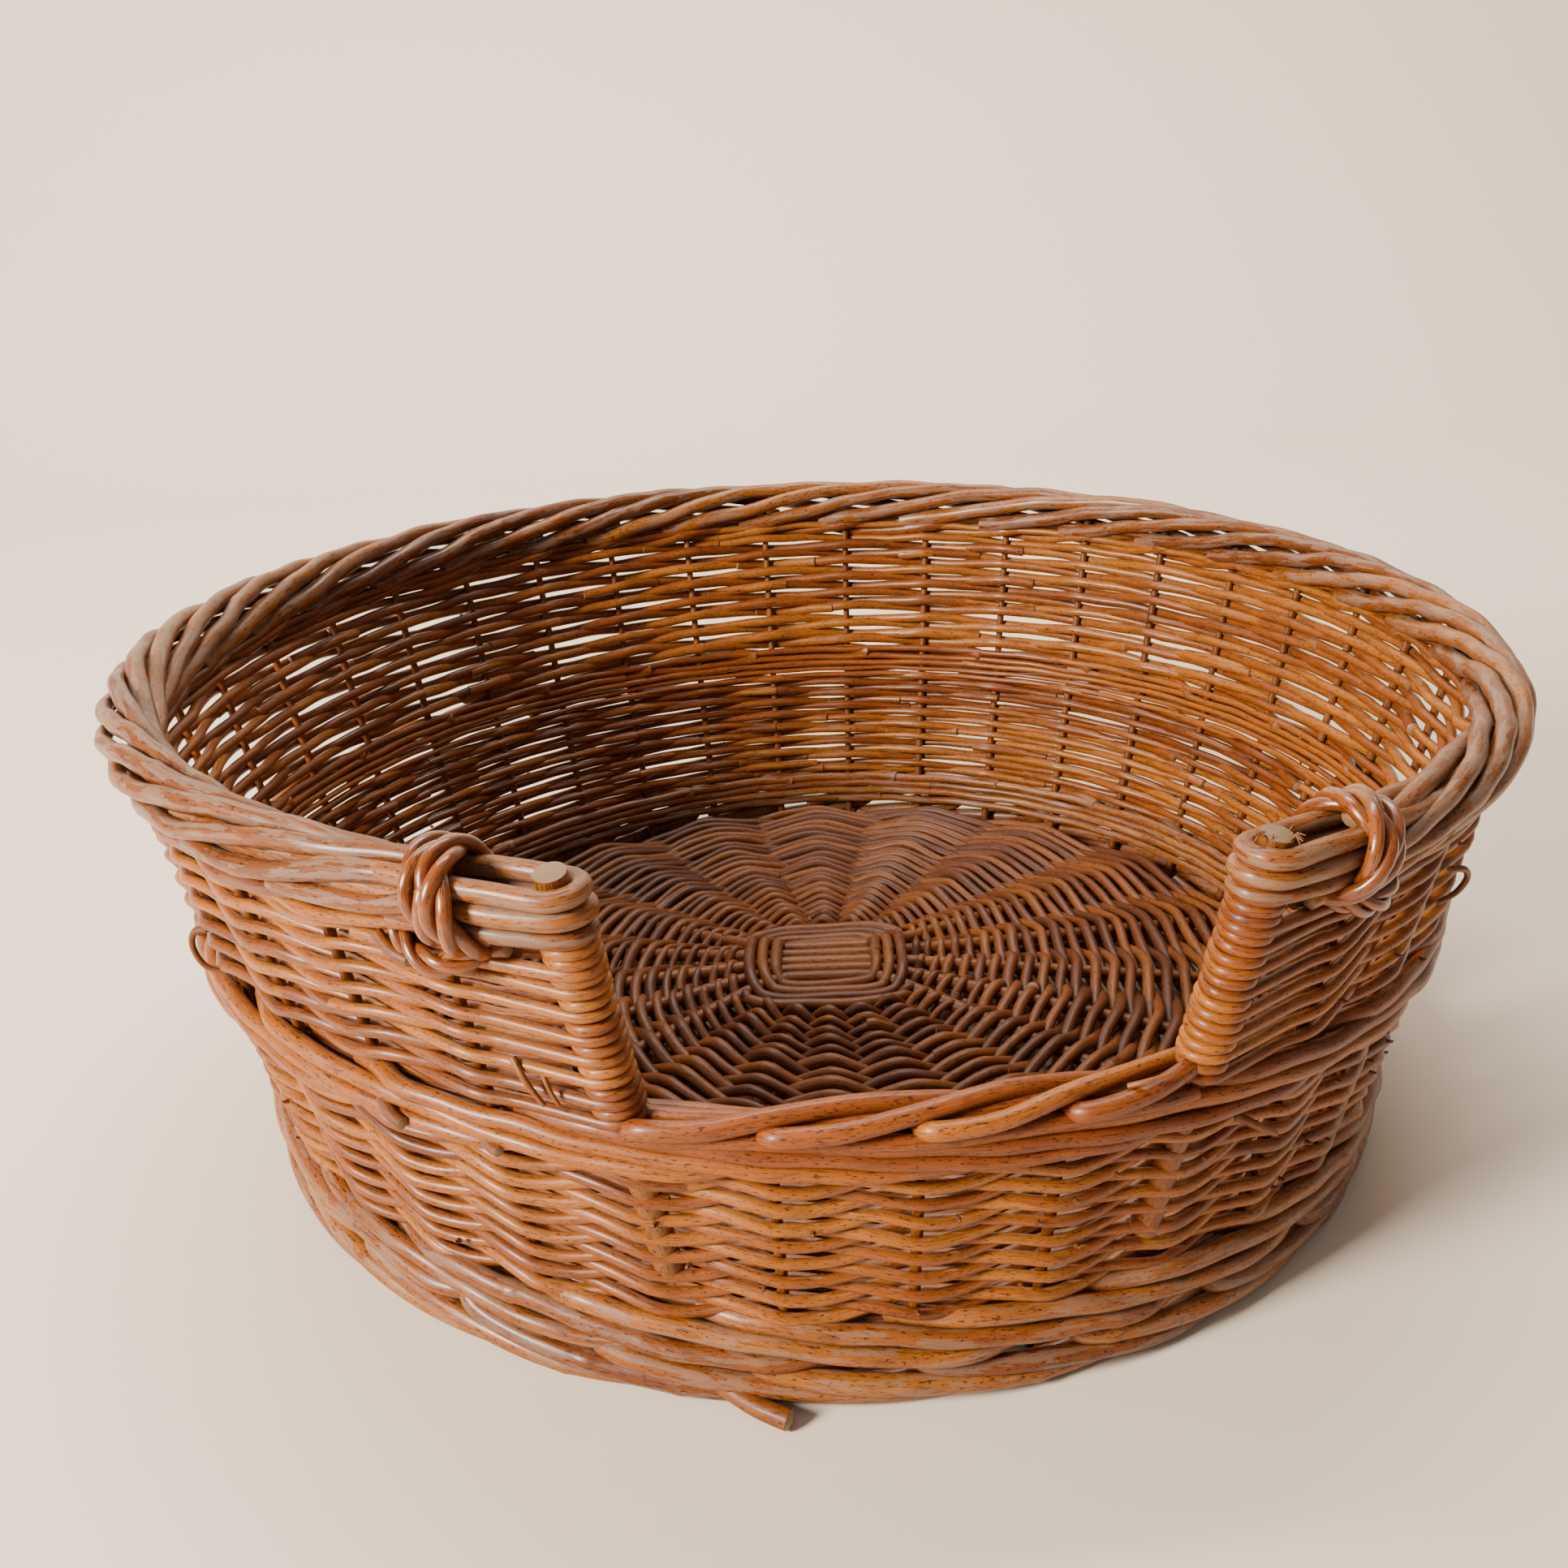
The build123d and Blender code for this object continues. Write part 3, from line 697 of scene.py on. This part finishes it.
BINDING_AZ = 27.9
BINDING_OUT, BINDING_UP = 15.9, 14.6   # from the border's middle to the middle of the binding
for side, word in ((1, "right"), (-1, "left")):
    bundle = Bundle(f"post_{word}", "posts", [f"end_post_{word}", f"post_wrap_{word}"])
    z = np.linspace(POST_FOOT_Z + 2, Z_POST - 0.8, 40)
    bundle.rod(post_axis(side, z), POST_R, 5.5, sides=22, ends=(1, 0.3), wobble=0.006)
    bundle.build(M_POST)

    bundle = Bundle(f"binding_{word}", "bindings", [f"rim_binding_{word}"])
    az = side * BINDING_AZ
    centre = polar(az, float(wall_r(Z_RIM)), Z_RIM)
    rad_dir, tan_dir, up = polar(az, 1.0, 0.0), polar(az + 90 * side, 1.0, 0.0), np.array([0, 0, 1.0])
    # two turns round the border, moving along it
    phi = np.radians(np.linspace(-140, 590, 300))
    share = np.linspace(-1, 1, 300)
    along = 7.4 * share + 3.4 * np.sin(phi)
    swell = 1 + 0.05 * np.cos(phi * 0.5)
    core = centre + rad_dir * (BINDING_OUT * swell * np.cos(phi))[:, None]
    core = core + up * (BINDING_UP * swell * np.sin(phi))[:, None] + tan_dir * along[:, None]
    beside = np.broadcast_to(tan_dir, core.shape)
    twisted(bundle, core, beside, 2.6, 2.3, pitch=52.0, spread=3.6, depth=1.8)
    # the tail passes under the border and lies along the wall: along, outwards and up from the middle
    tail = spline([(10.0, 6.0, -15.5), (6.0, 10.5, -20.0), (-4.0, 13.0, -23.0),
                   (-14.0, 11.0, -21.5), (-24.0, 5.0, -15.5), (-27, -2, -12)], 14)
    core = centre + tan_dir * (-tail[:, 0])[:, None] + rad_dir * (tail[:, 1] - 4.0)[:, None]
    core = core + up * (tail[:, 2] + 2.0)[:, None]
    beside = np.broadcast_to(up, core.shape)
    twisted(bundle, core, beside, 2.1, 1.8, pitch=34.0, spread=2.6, depth=1.8)
    bundle.build(M_BIND)

# ---------------------------------------------------------------- loose ends, loops and buds
bundle = Bundle("loose_ends", "weave")


def on_wall(azimuth, out, z):
    """Points out from the stakes' line."""
    return polar(azimuth, wall_r(z) + out, z)


def twig(rows, r0, r1, tint):
    """A thin end: rows of azimuth, offset outwards from the stakes, height."""
    way = spline(rows, 8)
    bundle.rod(even_path(on_wall(way[:, 0], way[:, 1], way[:, 2]), 1.5, 2), r0, r1, sides=8, tint=tint)


twig([(-60, 5, 160), (-61.2, 9, 158), (-61.6, 12, 151), (-61, 11, 143), (-60, 5, 140)], 1.5, 1.1, 0.15)
twig([(46, 5, 178), (47.2, 9, 177), (48.2, 11, 171), (47.9, 9, 164), (46.5, 5, 162)], 1.5, 1.1, 0.2)
twig([(-26.5, 4, 160), (-25.4, 8.5, 154), (-24.2, 10.5, 146)], 1.5, 0.9, 0.75)
twig([(-24.6, 4, 158), (-23.8, 8.5, 152), (-23.2, 10, 147)], 1.1, 0.7, 0.6)
twig([(-39, 7, 126), (-37.6, 11.5, 123), (-36.4, 13, 122)], 3.1, 2.6, 0.02)
twig([(-30.5, 6, 124), (-29.4, 10.5, 121), (-28.5, 12, 121)], 2.6, 2.2, 0.3)
twig([(24, 5, 112), (25.2, 11, 108), (26.6, 14, 103)], 2.0, 1.2, 0.4)
twig([(13.5, 6, 145), (14.4, 9, 148), (15.8, 10.5, 150)], 1.3, 0.7, 0.6)
twig([(-33.5, 8, 205), (-32.0, 12, 202), (-30.6, 13.5, 201)], 2.4, 2.1, 0.3)
# a short cut end lies under the foot at the entry
root = spline([(-18.5, 266.0, 15.0), (-15.5, 273.0, 10.0), (-12.5, 279.0, 6.0), (-9.8, 284.0, 4.6)], 8)
bundle.rod(even_path(polar(root[:, 0], root[:, 1], root[:, 2]), 1.6, 1), 3.2, 4.3, sides=10, tint=0.5)
# frayed fibres at the top of the right post
top = post_axis(1, np.array(Z_POST - 1.0))
for _ in range(16):
    t = RNG.uniform(0, 6.283)
    foot = top + np.array([3.8 * math.cos(t), 3.8 * math.sin(t), 0.4])
    lean_out = np.array([math.cos(t), math.sin(t), 0.0]) * RNG.uniform(1.5, 5.5)
    droop = np.array([0, 0, RNG.uniform(-3.5, 1.8)])
    fibre = [foot - np.array([0, 0, 2.0]), foot + lean_out * 0.5 + (0, 0, 1.0), foot + lean_out + droop]
    bundle.rod(np.array(fibre), 0.42, 0.22, sides=5, tint=0.95)
# leaf scars and small buds
for _ in range(70):
    azimuth, z = RNG.uniform(-150, 150), RNG.uniform(45, 200)
    if abs(azimuth) < 24 and z > 110:
        z = RNG.uniform(45, 108)
    here = on_wall(azimuth, 7.6, z)
    away = polar(azimuth, 1.0, 0.0)
    bud = [here - away * 1.6, here + away * 0.6 + (0, 0, 0.5), here + away * 1.1 + (0, 0, 1.2)]
    bundle.rod(np.array(bud), 1.2, 0.35, sides=7, tint=0.0)
bundle.build(M_STAKE)

# ---------------------------------------------------------------- base
TURN = -5.0                       # azimuth of the front spoke
SPOKE_STEP = 18.0
STICK_PITCH, CROSS_HALF = 8.0, 28.0
CROSS_Z, CROSS_LIFT, END_Z, END_R = 38.0, 3.6, 18.0, 253.2
UPRIGHT = np.array([0, 0, 1.0])


def base_axis_z(r):
    """Height of the base's middle surface, which is highest at the cross."""
    return CROSS_Z + (np.asarray(r, float) - CROSS_HALF) / (END_R - CROSS_HALF) * (END_Z - CROSS_Z)


STICKS = [f"base_stick_{way}_{i}" for way in ("across", "along") for i in range(1, 6)]
bundle = Bundle("base_sticks", "base_sticks", STICKS)
for way, head, lift in (("across", 0.0, CROSS_LIFT), ("along", 90.0, -CROSS_LIFT)):
    for i in range(-2, 3):
        fan = math.radians(SPOKE_STEP * i)
        x = [-END_R * math.cos(fan), -CROSS_HALF, CROSS_HALF, END_R * math.cos(fan)]
        y = [END_R * math.sin(fan), i * STICK_PITCH, i * STICK_PITCH, END_R * math.sin(fan)]
        z = [END_Z, CROSS_Z + lift, CROSS_Z + lift, END_Z]
        way_pts = np.stack([x, y, z], 1)
        seg = np.concatenate([[0], np.cumsum(np.linalg.norm(np.diff(way_pts, axis=0), axis=1))])
        even = np.linspace(0, seg[-1], 120)
        pts = np.stack([np.interp(even, seg, way_pts[:, k]) for k in range(3)], 1)
        for _ in range(6):
            pts[1:-1] = (pts[:-2] + 2 * pts[1:-1] + pts[2:]) / 4
        h = math.radians(TURN + head)
        rot = np.array([[math.cos(h), math.sin(h), 0], [-math.sin(h), math.cos(h), 0], [0, 0, 1]])
        bundle.rod(pts @ rot, 3.6 * RNG.uniform(0.95, 1.04), 3.4, sides=12, ref=UPRIGHT)
bundle.build(M_BASE_STICK)


def base_points(v, r, dz):
    """v counts spokes from the front one."""
    return polar(TURN + v * SPOKE_STEP, r, base_axis_z(r) + dz)


bundle = Bundle("base_binding_rods", "base_weave", ["base_binding"])
for k, rho in enumerate((23.2, 29.0, 35.0, 41.0)):
    # the last round passes under the upper sticks; the others lie over both sets
    t = np.radians(np.linspace(0, 372, 150))
    sq = rho / (np.abs(np.cos(t)) ** 4 + np.abs(np.sin(t)) ** 4) ** 0.25
    dz = 3.3 + (6.5 if k < 3 else -8.0) * np.clip(1.6 * np.cos(2 * t), 0, 1)
    x, y = 1.14 * sq * np.cos(t), sq * np.sin(t)
    h = math.radians(TURN)
    z = CROSS_Z - 0.2 + dz - 0.03 * rho
    pts = np.stack([x * math.cos(h) - y * math.sin(h), x * math.sin(h) + y * math.cos(h), z], 1)
    bundle.rod(pts, 3.2, 2.9, ref=UPRIGHT, sway=0.6)
bundle.build(M_BASE)

ROUNDS, FINE_ROUNDS, INNER_ROUNDS = 22, 5, 13
BASE_FROM_R, BASE_TO_R = 47.0, 251.0
BASE_ROWS = row_levels(BASE_FROM_R, BASE_TO_R, ROUNDS, -0.16)
for half_no, word in ((0, "inner"), (1, "outer")):
    bundle = Bundle(f"base_weave_{word}", "base_weave", ["base_weave"])
    for row, r0 in enumerate(BASE_ROWS):
        if (row >= INNER_ROUNDS) != bool(half_no):
            continue
        for phase in (0, 1):
            v = RNG.uniform(0, 5)
            stop = v + 20
            while v < stop - 0.1:
                v1 = min(v + RNG.uniform(9, 15), stop)
                if stop - v1 < 3:
                    v1 = stop
                vv = np.linspace(v - 0.3, v1 + 0.3, int((v1 - v + 0.6) * 14))
                t0 = RNG.uniform(2.8, 3.5) * (0.82 if row < FINE_ROUNDS else 1.0)
                t1 = t0 * RNG.uniform(0.8, 0.97)
                r = r0 + 2.25 * np.sin(np.pi * (vv - phase)) + RNG.normal(0, 0.3)
                # a rod runs nearly straight from spoke to spoke
                gap = np.abs(np.sin(np.pi * vv))
                r = r - (r0 * (1 - math.cos(math.radians(SPOKE_STEP / 2)))) * gap * 0.6
                dz = (3.4 + (t0 + t1) / 2) * soft_tri(vv - phase, 0.95)
                bundle.rod(base_points(vv, r, dz), t0, t1, ref=UPRIGHT, knots=0.4, sway=0.75)
                v = v1
    bundle.build(M_BASE)

# ---------------------------------------------------------------- floor, light, camera
mat = bpy.data.materials.new("floor_pale")
mat.use_nodes = True
mat.node_tree.nodes["Principled BSDF"].inputs["Base Color"].default_value = (0.74, 0.63, 0.51, 1)
mat.node_tree.nodes["Principled BSDF"].inputs["Roughness"].default_value = 0.9
verts, faces = [], []
prof = [(-6.0, 0.0), (1.6, 0.0)]
for i in range(1, 13):
    a = math.pi / 2 * i / 12
    prof.append((1.6 + 0.8 * math.sin(a), 0.8 - 0.8 * math.cos(a)))
prof.append((2.4, 6.0))
for y, z in prof:
    verts += [(-7.0, y, z), (7.0, y, z)]
for i in range(len(prof) - 1):
    faces.append((2 * i, 2 * i + 1, 2 * i + 3, 2 * i + 2))
mesh = bpy.data.meshes.new("studio_floor")
mesh.from_pydata(verts, [], faces)
for p in mesh.polygons:
    p.use_smooth = True
floor = bpy.data.objects.new("studio_floor", mesh)
mesh.materials.append(mat)
bpy.context.scene.collection.objects.link(floor)

world = bpy.data.worlds.new("studio")
bpy.context.scene.world = world
world.use_nodes = True
world.node_tree.nodes["Background"].inputs[0].default_value = (1.0, 0.97, 0.93, 1)
world.node_tree.nodes["Background"].inputs[1].default_value = 0.32


def area(name, loc, target, size, power, color):
    """A rectangular light at loc, facing target."""
    d = bpy.data.lights.new(name, "AREA")
    d.shape = "RECTANGLE"
    d.size, d.size_y = size
    d.energy = power
    d.color = color
    o = bpy.data.objects.new(name, d)
    o.location = loc
    o.rotation_euler = (Vector(target) - Vector(loc)).to_track_quat("-Z", "Y").to_euler()
    bpy.context.scene.collection.objects.link(o)


area("key_left", (-2.05, -1.3, 1.3), (0, 0, 0.1), (0.6, 0.8), 215, (1.0, 0.93, 0.82))
area("backdrop_light", (0.0, 0.9, 3.4), (0, 2.6, 0.9), (3.0, 0.6), 215, (1.0, 0.97, 0.92))

CAMERA_UNIT = 320.0               # half the rim's width, in which the camera's place is given
FOCAL_OVER_WIDTH = 0.9989648      # focal length over the picture's width
cam_data = bpy.data.cameras.new("camera")
cam_data.sensor_fit = "HORIZONTAL"
cam_data.sensor_width = 36.0
cam_data.lens = 36.0 * FOCAL_OVER_WIDTH
cam = bpy.data.objects.new("camera", cam_data)
bpy.context.scene.collection.objects.link(cam)
bpy.context.scene.camera = cam
cx, cy, cz = -0.055 * CAMERA_UNIT, -2.291 * CAMERA_UNIT, 1.367 * CAMERA_UNIT
yaw, pitch, roll = -0.001, 0.381, -0.043
ox = cx * math.cos(VIEW_TURN) + cy * math.sin(VIEW_TURN)
oy = -cx * math.sin(VIEW_TURN) + cy * math.cos(VIEW_TURN)
cam.location = ((ox + AXIS_X) / 1000, (oy + AXIS_Y) / 1000, cz / 1000)
yaw_o = yaw + VIEW_TURN
fwd = Vector((math.sin(yaw_o) * math.cos(pitch), math.cos(yaw_o) * math.cos(pitch), -math.sin(pitch)))
right = Vector((math.cos(yaw_o), -math.sin(yaw_o), 0))
upv = right.cross(fwd)
r2 = right * math.cos(roll) + upv * math.sin(roll)
u2 = -right * math.sin(roll) + upv * math.cos(roll)
rot3 = Matrix((r2, u2, -fwd)).transposed()
cam.rotation_euler = rot3.to_euler()
